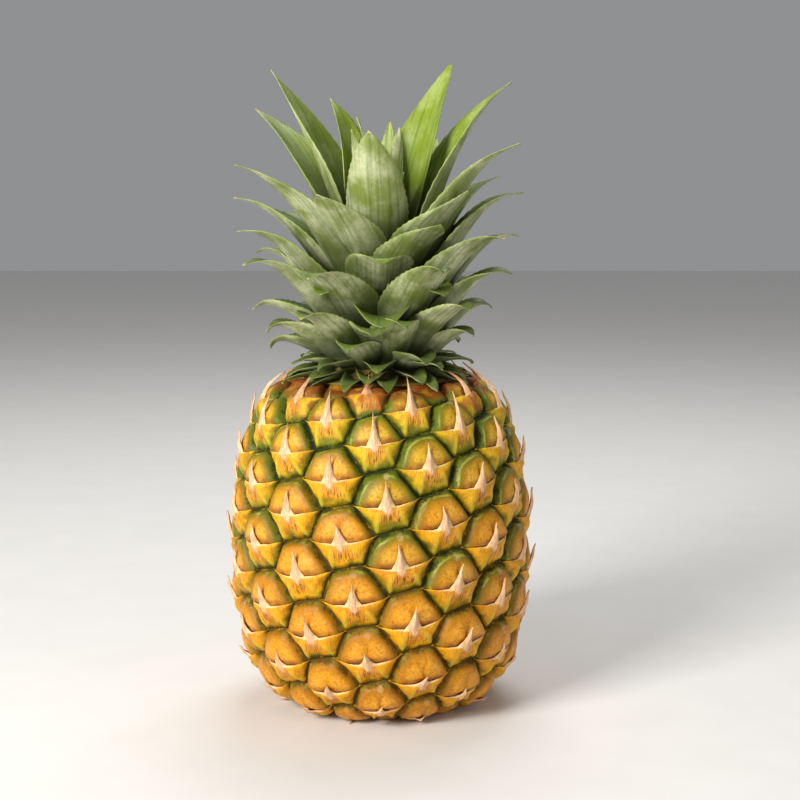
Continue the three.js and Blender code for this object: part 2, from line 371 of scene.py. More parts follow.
def lip_line(across):
    """How far up the eye the bract's upper edge is."""
    return 0.1 * across + 0.0075 * across * across - 0.4


def eye_height(across, up, ring):
    """A cushion with a low lower part, a hollow above the bract's lip and one fine crease."""
    if ring > 0.999:
        return 0.0
    wall = smooth(1 - ring, -0.02, 0.2)
    height = GROOVE_DEPTH * wall + EYE_SWELL * (1 - ring * ring)
    below = smooth(lip_line(across) + 1.0 - up, 0.0, 2.5)
    over_lip = up - lip_line(across) - HOLLOW_ABOVE_LIP
    hollow = bell(over_lip, HOLLOW_HALF_HEIGHT) * bell(across, HOLLOW_HALF_WIDTH)
    middle = 0.5 + 0.5 * math.sin(up * 0.9)
    crease = bell(across - middle, CREASE_HALF_WIDTH) * smooth(up, 0.5, 2.5) * (1 - smooth(ring, 0.7, 0.95))
    return height * (1 - COVERED_SHARE * below) - HOLLOW_DEPTH * hollow - CREASE_DEPTH * crease


# %% The flat pattern of one eye
def cell_edge(share):
    """A point on the six-sided outline, `share` of the way round."""
    side = share * 6
    first = int(side) % 6
    return cell_corners[first].lerp(cell_corners[(first + 1) % 6], side - int(side))


def eye_pattern():
    form = bmesh.new()
    layers = {name: form.verts.layers.float.new(name) for name in ("eye_x", "eye_y", "ring")}
    count = SIDE_STEPS * 6
    bmesh.ops.create_circle(form, cap_ends=True, cap_tris=True, segments=count, radius=RING_PLACES[0])
    edges = [edge for edge in form.edges if edge.is_boundary]
    for before, after in zip(RING_PLACES, RING_PLACES[1:]):
        grown = bmesh.ops.extrude_edge_only(form, edges=edges)["geom"]
        fresh = [item for item in grown if isinstance(item, bmesh.types.BMVert)]
        bmesh.ops.scale(form, vec=(after / before, after / before, 1), verts=fresh)
        edges = [item for item in grown if isinstance(item, bmesh.types.BMEdge)]
    for vert in form.verts:
        ring = vert.co.to_2d().length
        share = (math.atan2(vert.co.y, vert.co.x) / math.tau) % 1.0
        share = round(share * count) % count / count
        edge = cell_edge(share)
        rounder = edge.normalized() * EYE_REACH
        place = EYE_MIDDLE + rounder.lerp(edge, smooth(ring, 0.55, 1.0)) * ring
        vert[layers["eye_x"]], vert[layers["eye_y"]], vert[layers["ring"]] = place.x, place.y, ring
        vert.co = place.to_3d()
    bmesh.ops.recalc_face_normals(form, faces=form.faces)
    mesh = bpy.data.meshes.new("eye_pattern")
    form.to_mesh(mesh)
    form.free()
    return mesh


# %% [markdown]
# ## The skin of the fruit
# The flat eye is copied once for each place on the spiral and laid on the barrel.
# Neighbours share their outline exactly, so merging close points closes the skin. The
# eyes run on past both ends, and the base and the crown's seat are cut straight
# across and filled, which gives the small flat that the fruit stands on.

# %% Finishing a piece
def finish_piece(form, name, material, nodes):
    """Turns a form in mm into a smooth object in metres that rides on the frame."""
    mesh = bpy.data.meshes.new(name)
    bmesh.ops.scale(form, vec=(MM, MM, MM), verts=form.verts)
    form.to_mesh(mesh)
    form.free()
    mesh.shade_smooth()
    piece = bpy.data.objects.new(name, mesh)
    bpy.context.scene.collection.objects.link(piece)
    mesh.materials.append(material)
    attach(piece, "root")
    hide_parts(*nodes)


def level_edges(form, height, keep_above):
    """Cuts the form level, drops one side, and gives the edges of the cut."""
    facing = Vector((0, 0, -1 if keep_above else 1))
    geometry = form.verts[:] + form.edges[:] + form.faces[:]
    cut = bmesh.ops.bisect_plane(
        form, geom=geometry, dist=1e-5, plane_co=(0, 0, height), plane_no=facing, clear_outer=True)
    return [item for item in cut["geom_cut"] if isinstance(item, bmesh.types.BMEdge)]


def cut_level(form, height, keep_above):
    """Cuts the form level, drops one side, and fills the cut."""
    return bmesh.ops.holes_fill(form, edges=level_edges(form, height, keep_above), sides=0)["faces"]


# %% Lay out the skin
def fruit_skin_form():
    form = bmesh.new()
    names = ("eye_x", "eye_y", "ring", "tone", "ripe")
    layers = {name: form.verts.layers.float.new(name) for name in names}
    pattern = eye_pattern()
    for eye in range(FIRST_EYE, LAST_EYE + 1):
        start = len(form.verts)
        form.from_mesh(pattern)
        form.verts.ensure_lookup_table()
        size = size_of(eye)
        for vert in form.verts[start:]:
            across, up, ring = (vert[layers[name]] for name in ("eye_x", "eye_y", "ring"))
            height = eye_height(across, up, ring) * size - GROOVE_DEPTH
            lumps = noise.noise(Vector((across, up, eye * 9.0)) * 0.2) * 0.9 * (1 - ring)
            vert.co = on_fruit(eye, across, up, height + lumps)
            vert[layers["tone"]] = eye_tone[eye]
            vert[layers["ripe"]] = vert.co.z / FRUIT_HEIGHT
    bpy.data.meshes.remove(pattern)
    bmesh.ops.remove_doubles(form, verts=form.verts, dist=0.05)
    return form


# %% Cut the base and the seat
SCAR_RADIUS = 12.0
SCAR_DEPTH = 1.6
SCAR_SIDES = 48
# The depth of each step into the scar, and its radius as a share of the scar's.
SCAR_STEPS = ((0.5, 0.96), (SCAR_DEPTH, 0.9), (SCAR_DEPTH * 0.7, 0.5))
SEAT_BELOW_TOP = 0.5


def base_with_scar(form):
    """Cuts the base flat and sinks the stalk's scar into its middle."""
    rim = level_edges(form, 0.0, True)
    circle = bmesh.ops.create_circle(form, segments=SCAR_SIDES, radius=SCAR_RADIUS)["verts"]
    edges = list(dict.fromkeys(edge for vert in circle for edge in vert.link_edges))
    bmesh.ops.triangle_fill(form, use_beauty=True, edges=rim + edges)
    for depth, shrink in SCAR_STEPS:
        grown = bmesh.ops.extrude_edge_only(form, edges=edges)["geom"]
        fresh = [item for item in grown if isinstance(item, bmesh.types.BMVert)]
        reach = fresh[0].co.to_2d().length
        bmesh.ops.scale(form, vec=(SCAR_RADIUS * shrink / reach,) * 2 + (1,), verts=fresh)
        for vert in fresh:
            vert.co.z = depth
        edges = [item for item in grown if isinstance(item, bmesh.types.BMEdge) and item.is_boundary]
    return bmesh.ops.holes_fill(form, edges=edges, sides=0)["faces"]


skin_form = fruit_skin_form()
base_faces = base_with_scar(skin_form)
seat_faces = cut_level(skin_form, FRUIT_HEIGHT - SEAT_BELOW_TOP, False)
bmesh.ops.recalc_face_normals(skin_form, faces=skin_form.faces)
print("skin:", len(skin_form.faces), "faces,", len(base_faces), "base and", len(seat_faces), "seat")
open_edges = [edge for edge in skin_form.edges if not edge.is_manifold]
print("open edges:", len(open_edges))


# %% [markdown]
# ## Finish of the eyes
# Each vertex of the skin knows its place on its eye, so the finish can follow the eye:
# a golden cushion with a painted highlight beside the spike's root, olive towards the
# edge, a thin pale line of painted highlight where the edge catches the light, a painted
# shadow just above the bract's lip, and in the groove a dark green that is darkened further
# as painted shade. The golds end along a border that lies halfway between the six-sided
# outline and a circle, because an eye looks rounder than its cell. Noise breaks every one
# of these borders, since a real rind never keeps a clean line. Eyes near the crown are
# greener, and the topmost turn a dried reddish brown that is partly painted shade under
# the crown's collar.

# %% Eye skin
def eye_skin_finish():
    skin = Finish("eye_skin")
    place = skin.coordinates()
    across, up = skin.attribute("eye_x"), skin.attribute("eye_y")
    tone, ripe = skin.attribute("tone"), skin.attribute("ripe")
    cloud = skin.noise(place, 170.0, 3.0)
    grain = skin.noise(place, 900.0, 5.0, 0.65)
    ring = skin.math("ADD", skin.attribute("ring"), skin.fade(cloud, 0.3, 0.7, -0.06, 0.06))
    ring = skin.math("ADD", ring, skin.fade(grain, 0.3, 0.7, -0.03, 0.03))
    above_middle = skin.math("SUBTRACT", up, EYE_MIDDLE.y)
    from_middle = skin.add("ShaderNodeCombineXYZ", {"X": across, "Y": above_middle})
    from_middle = skin.add("ShaderNodeVectorMath", {0: from_middle}, 1, operation="LENGTH")
    rounder = skin.math("MULTIPLY", skin.math("DIVIDE", from_middle, EYE_REACH), 0.5)
    rounder = skin.math("ADD", rounder, skin.math("MULTIPLY", ring, 0.5))

    ripe_gold = skin.mix(tone, color(234, 164, 6), color(212, 142, 6))
    young_gold = skin.mix(tone, color(222, 190, 36), color(198, 164, 22))
    greener = skin.math("ADD", ripe, skin.fade(tone, 0, 1, -0.15, 0.15))
    tint = skin.mix(skin.fade(greener, 0.5, 0.95), ripe_gold, young_gold)
    tint = skin.mix(skin.fade(cloud, 0.38, 0.62, 0, 0.6), tint, color(196, 122, 4))
    blush_place = skin.math("ADD", skin.fade(across, -7, 9, 0, 0.3), skin.noise(place, 110.0, 2.0))
    tint = skin.mix(skin.fade(blush_place, 0.66, 0.9, 0, 0.5), tint, color(226, 170, 86))
    # Painted highlight: a paler gold patch on each cushion beside the spike's root, where the swelling would
    # catch the light.
    left_far = skin.math("SUBTRACT", skin.math("ABSOLUTE", skin.math("ADD", across, 0.4)), 4.2)
    high_far = skin.math("MULTIPLY", skin.math("SUBTRACT", up, 4.2), 0.8)
    highlight_distance = skin.squares(left_far, high_far)
    painted_highlight = skin.math("MULTIPLY", skin.fade(highlight_distance, 22.0, 0.0), skin.fade(cloud, 0.35, 0.6, 0.15, 0.75))
    highlight_tint = skin.mix(skin.fade(greener, 0.4, 0.9), color(244, 180, 66), color(226, 196, 84))
    tint = skin.mix(painted_highlight, tint, highlight_tint)
    tint = skin.mix(skin.fade(grain, 0.5, 0.66, 0, 0.55), tint, color(150, 86, 10))
    tint = skin.mix(skin.fade(grain, 0.47, 0.36, 0, 0.3), tint, color(246, 202, 84))
    border = skin.math("ADD", rounder, skin.fade(greener, 0.2, 0.9, -0.12, 0.03))
    olive = skin.mix(skin.fade(greener, 0.35, 0.9), color(172, 116, 4), color(136, 122, 12))
    tint = skin.mix(skin.fade(border, 0.48, 0.78, 0, 0.9), tint, olive)
    green = skin.mix(skin.fade(greener, 0.35, 0.95), color(112, 104, 10), color(96, 114, 24))
    tint = skin.mix(skin.fade(border, 0.68, 0.9), tint, green)
    rim = skin.math("MULTIPLY", skin.fade(border, 0.8, 0.84), skin.fade(border, 0.9, 0.86))
    rim = skin.math("MULTIPLY", rim, skin.fade(skin.math("SUBTRACT", up, across), 5.0, 12.0))
    rim = skin.math("MULTIPLY", rim, skin.fade(cloud, 0.4, 0.6, 0.0, 0.6))
    tint = skin.mix(rim, tint, color(190, 196, 96))
    # The groove's dark green is partly its own colour and partly painted shade in the recess.
    groove = skin.mix(skin.fade(greener, 0.2, 0.7), color(98, 72, 8), color(44, 54, 10))
    tint = skin.mix(skin.fade(ring, 0.88, 0.98), tint, groove)
    tint = skin.mix(1.0, tint, color(242, 233, 190), "MULTIPLY")
    # Near the crown the rind turns a dried reddish brown, partly its own colour and partly painted shade
    # under the crown's collar.
    dried_and_collar_shade = skin.math("MULTIPLY", skin.fade(ripe, 0.95, 0.99), skin.fade(cloud, 0.35, 0.55, 0.35, 0.95))
    tint = skin.mix(dried_and_collar_shade, tint, color(128, 62, 26))

    # Painted shadow: the cushion is darkened to reddish brown just above the bract's lip, where the lip
    # casts shade.
    above = skin.math("SUBTRACT", up, skin.math("MULTIPLY", across, 0.1))
    painted_lip_shadow = skin.math("MULTIPLY", skin.fade(above, 3.6, 0.8), skin.fade(ring, 0.85, 0.6))
    painted_lip_shadow = skin.math("MULTIPLY", painted_lip_shadow, skin.fade(cloud, 0.3, 0.6, 0.25, 0.8))
    tint = skin.mix(painted_lip_shadow, tint, color(128, 62, 10))
    nub_up = skin.math("SUBTRACT", up, 12.2)
    nub = skin.math("MULTIPLY", skin.fade(skin.squares(across, nub_up), 3.2, 0.8), skin.fade(tone, 0.4, 0.8))
    nub = skin.math("MULTIPLY", nub, skin.fade(grain, 0.4, 0.6, 0.15, 0.6))
    tint = skin.mix(nub, tint, color(200, 176, 122))

    spot = skin.add("ShaderNodeSeparateXYZ", {"Vector": place}, 2)
    flat_place = skin.stretched(place, (1.0, 1.0, 0.0))
    from_axis = skin.add("ShaderNodeVectorMath", {0: flat_place}, 1, operation="LENGTH")
    under = skin.fade(spot, 0.0018, 0.0006)
    cork = skin.mix(skin.fade(grain, 0.35, 0.65), color(152, 116, 66), color(96, 68, 34))
    cork = skin.mix(skin.fade(from_axis, 0.0135, 0.0115), cork, color(198, 170, 118))
    cork = skin.mix(skin.fade(from_axis, 0.016, 0.03), cork, color(150, 120, 34))
    under = skin.math("MULTIPLY", under, skin.fade(from_axis, 0.034, 0.030))
    tint = skin.mix(under, tint, cork)

    relief = skin.math("ADD", skin.math("MULTIPLY", cloud, 0.7), skin.math("MULTIPLY", grain, 0.4))
    skin.bump(relief, 0.6, 0.001)
    gloss = skin.math("ADD", skin.fade(grain, 0.3, 0.75, 0.4, 0.56), skin.fade(ring, 0.84, 0.95, 0, 0.4))
    return skin.set(Base_Color=tint, Roughness=gloss, Specular_IOR_Level=0.32)


eye_skin = eye_skin_finish()
finish_piece(skin_form, "fruit_skin", eye_skin, ["fruit"])


# %% [markdown]
# ## Bracts and their spikes
# Below every eye a small leaf, the bract, is pressed against the rind. Its body covers
# the lower half of the eye and narrows to two keels at the lower corners. Its upper
# edge is a lip that runs out to a wing at each side, and its middle draws out into a
# dry spike. A grid makes the body, the middle of its upper edge is extruded row by row
# for the spike, and solidify gives it the thickness of a real scale.

# %% Pattern of one bract
COLUMN_ACROSS = (0.0, 0.9, 2.0, 3.6, 5.6, 8.4, 11.9, 15.6)
LAST_COLUMN = 7
BODY_ROWS = 6
SPIKE_COLUMNS = 3
SPIKE_ROWS = 5
KEEL_COLUMN = 3
INSET_SHARE = 0.955
BODY_HEIGHT = 4.2
WING_DROP = 2.6
RIDGE_HEIGHT = 1.5
RIDGE_HALF_WIDTH = 2.0
SPIKE_START_HEIGHT = 4.5
SPIKE_ARCH = 0.9
SPIKE_TAPER = 1.6
SPIKE_TIP_SHARE = 0.05


def bract_pattern():
    form = bmesh.new()
    bmesh.ops.create_grid(form, x_segments=2 * LAST_COLUMN, y_segments=BODY_ROWS, size=1)
    for vert in form.verts:
        vert.co.x = round(vert.co.x * LAST_COLUMN)
        vert.co.y = round((vert.co.y + 1) * BODY_ROWS / 2) / BODY_ROWS
    edges = [
        edge for edge in form.edges
        if all(vert.co.y > 0.99 and abs(vert.co.x) <= SPIKE_COLUMNS for vert in edge.verts)
    ]
    for row in range(SPIKE_ROWS):
        grown = bmesh.ops.extrude_edge_only(form, edges=edges)["geom"]
        for item in grown:
            if isinstance(item, bmesh.types.BMVert):
                item.co.y = 1 + (row + 1) / SPIKE_ROWS
        edges = [
            item for item in grown
            if isinstance(item, bmesh.types.BMEdge) and abs(item.verts[0].co.x - item.verts[1].co.x) > 0.5
        ]
    bmesh.ops.recalc_face_normals(form, faces=form.faces)
    bmesh.ops.solidify(form, geom=form.faces[:], thickness=1)
    middle = (max(vert.co.z for vert in form.verts) + min(vert.co.z for vert in form.verts)) / 2
    for vert in form.verts:
        vert.co.z = 1 if vert.co.z > middle else 0
    mesh = bpy.data.meshes.new("bract_pattern")
    form.to_mesh(mesh)
    form.free()
    return mesh


# %% Shape of one bract
def lower_edge(column):
    """The bract's lower border at a column: down one side, across, and up the other."""
    left, low_left, low_right, right = (EYE_MIDDLE + cell_corners[i] * INSET_SHARE for i in (3, 4, 5, 0))
    if column <= -KEEL_COLUMN:
        return left.lerp(low_left, (column + LAST_COLUMN) / (LAST_COLUMN - KEEL_COLUMN))
    if column <= KEEL_COLUMN:
        return low_left.lerp(low_right, (column + KEEL_COLUMN) / (2 * KEEL_COLUMN))
    return low_right.lerp(right, (column - KEEL_COLUMN) / (LAST_COLUMN - KEEL_COLUMN))


def bract_point(column, row, spike_length, spike_lift, sway):
    """Across, up and height of a point of the bract's face, in flat mm."""
    side = 1 if column >= 0 else -1
    across = side * COLUMN_ACROSS[abs(column)]
    lip = Vector((across, lip_line(across)))
    if row <= 1:
        place = lower_edge(column).lerp(lip, row)
        wing = smooth(abs(across), 7.0, COLUMN_ACROSS[LAST_COLUMN])
        height = 0.2 + (BODY_HEIGHT - WING_DROP * wing) * smooth(row, -0.12, 0.8) ** 0.75
        keel = bell(abs(column) - KEEL_COLUMN, 0.5)
        height += (0.5 + 0.7 * smooth(row, 0.0, 0.35)) * keel * (1 - smooth(row, 0.55, 1.0))
        height += RIDGE_HEIGHT * bell(across, RIDGE_HALF_WIDTH) * smooth(row, 0.5, 1.0)
        height -= 0.55 * bell(column, 2.0) * smooth(row, 0.0, 0.3) * (1 - smooth(row, 0.4, 0.8))
        return place.x, place.y, height
    out = row - 1
    narrow = (1 - out) ** SPIKE_TAPER * (1 - SPIKE_TIP_SHARE) + SPIKE_TIP_SHARE
    ridge = RIDGE_HEIGHT * bell(across, RIDGE_HALF_WIDTH) * (1 - 0.8 * out)
    arch = SPIKE_ARCH * math.sin(math.pi * min(1.0, out * 1.2))
    height = SPIKE_START_HEIGHT + ridge + arch + spike_lift * out ** 1.5
    up = lip.y * (1 - out) + lip_line(0) * out + spike_length * out
    return across * 0.9 * narrow + sway * out * out, up, height


# %% Lay out the bracts
SPIKE_LENGTH = 10.4
TOP_SPIKE_LENGTH = 15.5
SPIKE_LIFTS = (0.8, 3.6)
TOP_SPIKE_LIFT = 2.6
SPIKE_SWAY = 1.3
SCALE_THICKNESS = 0.65
TOP_BRACT_SHARE = 0.992
BRACT_SHRINK = 0.3


def bract_form():
    random.seed(11)
    form = bmesh.new()
    names = ("eye_x", "eye_y", "row", "column", "tone", "ripe")
    layers = {name: form.verts.layers.float.new(name) for name in names}
    pattern = bract_pattern()
    for eye in range(FIRST_EYE, LAST_EYE + 1):
        section = eye_section(eye)
        share = section.y / FRUIT_HEIGHT
        if share > TOP_BRACT_SHARE:
            continue
        length = SPIKE_LENGTH + (TOP_SPIKE_LENGTH - SPIKE_LENGTH) * smooth(share, 0.75, 1.0)
        length *= random.uniform(0.82, 1.12) * (0.5 + 0.5 * smooth(share, 0.08, 0.42))
        lift = random.uniform(*SPIKE_LIFTS) + TOP_SPIKE_LIFT * smooth(share, 0.7, 1.0)
        sway = random.uniform(-SPIKE_SWAY, SPIKE_SWAY)
        start = len(form.verts)
        form.from_mesh(pattern)
        form.verts.ensure_lookup_table()
        size = size_of(eye)
        spread = size ** BRACT_SHRINK
        for vert in form.verts[start:]:
            column, row, face = round(vert.co.x), vert.co.y, vert.co.z
            across, up, height = bract_point(column, row, length, lift, sway)
            thick = SCALE_THICKNESS * (1 if row <= 1 else 1.6 - row * 0.6)
            wobble = noise.noise(Vector((across * 0.3, up * 0.3, eye * 5.0)))
            height = (height - (1 - face) * thick + wobble * 0.5 * smooth(row, 0.1, 0.5)) * size
            up += wobble * 0.5 * smooth(row, 0.6, 1.0)
            vert.co = on_fruit(eye, across * spread, up * spread, height - GROOVE_DEPTH)
            vert[layers["eye_x"]], vert[layers["eye_y"]], vert[layers["row"]] = across, up, row
            vert[layers["tone"]], vert[layers["ripe"]] = eye_tone[eye], share
            vert[layers["column"]] = column
    bpy.data.meshes.remove(pattern)
    return form


bracts = bract_form()
bmesh.ops.recalc_face_normals(bracts, faces=bracts.faces)
print("bracts:", len(bracts.faces), "faces")


# %% [markdown]
# ## Finish of the bracts
# A bract is gold with green lower margins. Its middle dries first, to a pinkish tan
# with brown fibres that run up into the spike, and its lip carries a thin pale line of
# painted highlight. Painted shade darkens the green of its right side and its lower edge,
# and near the crown it turns a dried reddish brown that is partly painted shade under the
# collar.

# %% Bract finish
def bract_finish():
    scale = Finish("bract_scale")
    place = scale.coordinates()
    across, up, row = scale.attribute("eye_x"), scale.attribute("eye_y"), scale.attribute("row")
    tone, ripe = scale.attribute("tone"), scale.attribute("ripe")
    cloud = scale.noise(place, 190.0, 3.0)
    grain = scale.noise(place, 1100.0, 4.0, 0.65)
    apart = scale.math("MULTIPLY", tone, 60.0)
    on_eye = scale.add("ShaderNodeCombineXYZ", {"X": across, "Y": up, "Z": apart})
    fibre = scale.noise(scale.stretched(on_eye, (2.2, 0.28, 1.0)), 1.0, 4.0, 0.6)

    gold = scale.mix(tone, color(244, 184, 8), color(226, 158, 6))
    young = scale.mix(tone, color(238, 208, 36), color(212, 186, 22))
    greener = scale.math("ADD", ripe, scale.fade(tone, 0, 1, -0.15, 0.15))
    tint = scale.mix(scale.fade(greener, 0.5, 0.95), gold, young)
    tint = scale.mix(scale.fade(cloud, 0.4, 0.66, 0, 0.7), tint, color(204, 130, 6))
    tint = scale.mix(scale.fade(fibre, 0.5, 0.68, 0, 0.45), tint, color(176, 112, 12))
    tint = scale.mix(scale.fade(grain, 0.46, 0.36, 0, 0.35), tint, color(250, 220, 84))
    column = scale.attribute("column")
    side = scale.math("ABSOLUTE", column)
    low = scale.math("SUBTRACT", row, scale.fade(cloud, 0.3, 0.7, -0.16, 0.16))
    green = scale.mix(scale.fade(greener, 0.3, 0.95), color(130, 114, 10), color(104, 120, 22))
    low_green = scale.fade(low, scale.fade(greener, 0.2, 0.8, 0.22, 0.6), 0.03, 0.0, 0.95)
    tint = scale.mix(low_green, tint, green)
    # Darker olive green on the right of the lower bract: partly its green margin, partly painted shade on
    # the side turned from the light.
    right = scale.math("MULTIPLY", scale.fade(column, 3.5, 6.5), scale.fade(low, 0.95, 0.4))
    right = scale.math("MULTIPLY", right, scale.fade(greener, 0.25, 0.75, 0.2, 0.8))
    tint = scale.mix(right, tint, color(92, 98, 8))
    # The lowest edge of the bract, where it meets the groove, is darkened to near-black green: partly its
    # own dark green, partly painted shade.
    tint = scale.mix(scale.fade(low, 0.08, -0.02, 0.0, 0.7), tint, color(46, 56, 6))
    keel = scale.fade(scale.math("ABSOLUTE", scale.math("SUBTRACT", side, 3.0)), 0.75, 0.1)
    keel = scale.math("MULTIPLY", keel, scale.fade(row, 0.0, 0.15))
    keel = scale.math("MULTIPLY", keel, scale.fade(row, 0.95, 0.5, 0, 0.6))
    tint = scale.mix(keel, tint, color(222, 204, 66))
    beside = scale.math("ADD", side, scale.fade(cloud, 0.3, 0.7, -0.9, 0.9))
    kite = scale.math("MULTIPLY", scale.fade(beside, 3.2, 1.4), scale.fade(low, 0.25, 0.65))
    tint = scale.mix(scale.math("MULTIPLY", kite, 0.8), tint, color(226, 160, 84))
    streak = scale.math("MULTIPLY", scale.fade(fibre, 0.5, 0.6), scale.fade(beside, 3.4, 1.2))
    streak = scale.math("MULTIPLY", streak, scale.fade(row, 0.15, 0.4))
    streak = scale.math("MULTIPLY", streak, scale.fade(row, 0.95, 0.65, 0.15, 0.9))
    tint = scale.mix(streak, tint, color(120, 56, 14))
    tint = scale.mix(1.0, tint, color(249, 238, 190), "MULTIPLY")
    # Painted highlight: a thin pale line along the middle of the lip, where its edge would catch the light.
    lip = scale.math("MULTIPLY", scale.fade(row, 0.9, 0.98), scale.fade(grain, 0.3, 0.5, 0.35, 0.8))
    lip = scale.math("MULTIPLY", lip, scale.fade(side, 6.0, 4.0))
    tint = scale.mix(lip, tint, color(248, 220, 168))
    spike = scale.math("ADD", row, scale.fade(side, 0.0, 3.5, 0.3, -0.2))
    spike_tint = scale.mix(scale.fade(fibre, 0.35, 0.65), color(242, 202, 164), color(212, 160, 112))
    spike_tint = scale.mix(scale.fade(row, 1.6, 2.0, 0, 0.8), spike_tint, color(206, 164, 114))
    tint = scale.mix(scale.fade(spike, 0.92, 1.1), tint, spike_tint)
    tint = scale.mix(scale.fade(grain, 0.62, 0.74, 0, 0.4), tint, color(112, 62, 14))
    # Near the crown the bracts turn a dried reddish brown, partly their own colour and partly painted shade
    # under the crown's collar.
    dried_and_collar_shade = scale.math("MULTIPLY", scale.fade(ripe, 0.94, 0.99), scale.fade(cloud, 0.35, 0.6, 0.15, 0.85))
    tint = scale.mix(dried_and_collar_shade, tint, color(176, 92, 34))

    relief = scale.math("ADD", scale.math("MULTIPLY", fibre, 0.8), scale.math("MULTIPLY", grain, 0.3))
    scale.bump(relief, 0.6, 0.0008)
    gloss = scale.fade(cloud, 0.3, 0.7, 0.42, 0.6)
    return scale.set(Base_Color=tint, Roughness=gloss, Specular_IOR_Level=0.32)


bract_scale = bract_finish()
base_cut = cut_level(bracts, 0.0, True)
finish_piece(bracts, "fruit_bracts", bract_scale, ["fruit"])
print("bracts finished with", len(base_cut), "cut faces at the base")


# %% [markdown]
# ## Plan of the crown
# The crown's leaves follow one another at the golden angle, low and spreading outside,
# tall and upright inside. The stages give a typical leaf at nine moments of growth,
# and the leaves between are blended. A few leaves then differ in turn, reach, height or
# width. Each fine leaf stands in the place of its plain solid, a little broader, and
# some at the front also curl their tips over.

# %% Growth of the leaves
LEAF_COUNT = 57
LEAF_TURN = -137.5
FRONT_LEAF = 50
FRONT_LEAF_TURN = -2.0
LEAF_STAGES = (0, 8, 16, 24, 32, 40, 46, 50, 56)
LEAF_GROWTH = {
    "root_height": (149, 152, 156, 162, 169, 177, 184, 189, 198),
    "root_radius": (19, 18.5, 18, 17, 15.5, 13, 10.5, 8, 4),
    "tip_radius": (38, 48, 57, 62, 64, 65, 56, 40, 10),
    "tip_height": (154, 171, 187, 203, 220, 245, 275, 272, 250),
    "width": (19, 21, 23, 25, 26, 26, 25, 22, 12),
    "root_slope": (35, 42, 48, 54, 60, 66, 70, 74, 82),
    "tip_slope": (-80, -55, -35, -15, 0, 15, 40, 60, 85),
}
ODD_LEAVES = {
    1: {"reach": 1.3}, 6: {"turn": 3, "reach": 1.15}, 14: {"reach": 1.03, "lift": -8},
    16: {"turn": 4, "reach": 0.9, "lift": -16}, 19: {"reach": 1.12, "lift": 3},
    23: {"reach": 1.08, "lift": 5}, 24: {"lift": -8}, 29: {"turn": -3, "reach": 0.72, "lift": -40},
    31: {"reach": 0.98, "lift": 8}, 32: {"turn": 12, "reach": 0.68, "lift": -33},
    34: {"reach": 0.7, "lift": -40}, 35: {"reach": 1.02, "lift": -6},
    37: {"turn": 14, "reach": 0.78, "lift": -35, "wide": 1.1}, 39: {"reach": 0.98, "lift": 5},
    40: {"reach": 1.02, "lift": -7}, 42: {"turn": 16, "reach": 0.72, "lift": -42},
    43: {"turn": -4, "reach": 1.12, "lift": 3, "wide": 1.1}, 44: {"lift": 9, "wide": 1.1},
    45: {"reach": 0.8, "lift": -44}, 46: {"turn": 45, "reach": 0.5, "lift": -8, "wide": 0.9},
    47: {"turn": 8, "reach": 0.85, "lift": -47}, 48: {"turn": -25, "reach": 1.1, "lift": 6, "wide": 1.2},
    49: {"lift": 10, "wide": 1.25}, 50: {"turn": -5, "reach": 0.8, "lift": -20, "wide": 1.12},
    51: {"turn": 60, "reach": 0.3, "lift": -10, "wide": 0.6},
    52: {"turn": 10, "reach": 0.35, "lift": -30, "wide": 0.8},
    53: {"reach": 0.6, "lift": -8, "wide": 0.8},
}
# Some leaves at the front fold their tips over, so their plans end steeply downwards.
TIP_CURLS = {11: -75, 13: -75, 16: -80, 21: -60, 24: -55, 29: -75, 32: -45, 34: -70, 37: -70}
CURL_DROP = 3.0
TIP_HANDLE = 0.8
CURLED_HANDLE = 0.5


def grown(values, place):
    """A value between the stages on either side of a leaf's number."""
    i = min(bisect_right(LEAF_STAGES, place), len(LEAF_STAGES) - 1)
    share = (place - LEAF_STAGES[i - 1]) / (LEAF_STAGES[i] - LEAF_STAGES[i - 1])
    return values[i - 1] + (values[i] - values[i - 1]) * share


def leaf_plan(number):
    plan = {name: grown(values, number) for name, values in LEAF_GROWTH.items()}
    odd = ODD_LEAVES.get(number, {})
    plan["turn"] = FRONT_LEAF_TURN + LEAF_TURN * (number - FRONT_LEAF) + odd.get("turn", 0)
    plan["tip_radius"] *= odd.get("reach", 1)
    plan["tip_height"] += odd.get("lift", 0)
    plan["width"] *= odd.get("wide", 1)
    if number in TIP_CURLS:
        plan["tip_slope"], plan["curl_reach"] = TIP_CURLS[number], CURLED_HANDLE
        plan["tip_height"] -= CURL_DROP
    return plan


def leaf_line(plan, share):
    """Radius and height of the leaf's middle line, and its direction, at a share of its length."""
    root = Vector((plan["root_radius"], plan["root_height"]))
    tip = Vector((plan["tip_radius"], plan["tip_height"]))
    handle = 0.38 * (tip - root).length
    root_slope, tip_slope = math.radians(plan["root_slope"]), math.radians(plan["tip_slope"])
    second = root + Vector((math.cos(root_slope), math.sin(root_slope))) * handle
    tip_share = plan.get("curl_reach", TIP_HANDLE)
    third = tip - Vector((math.cos(tip_slope), math.sin(tip_slope))) * handle * tip_share
    back = 1 - share
    spot = (
        root * back ** 3 + second * 3 * back ** 2 * share
        + third * 3 * back * share ** 2 + tip * share ** 3
    )
    step = (second - root) * back ** 2 + (third - second) * 2 * back * share + (tip - third) * share ** 2
    return spot, step.normalized()


# %% [markdown]
# ## One leaf
# A leaf is a long trough that ends in a point, thick along the middle and thin at its
# margins, which carry small forward teeth. A grid is solidified into a slab, and the
# slab is bent along the leaf's middle line. Each leaf gets its own slight twist and
# waves, because no two leaves on a crown lie alike.

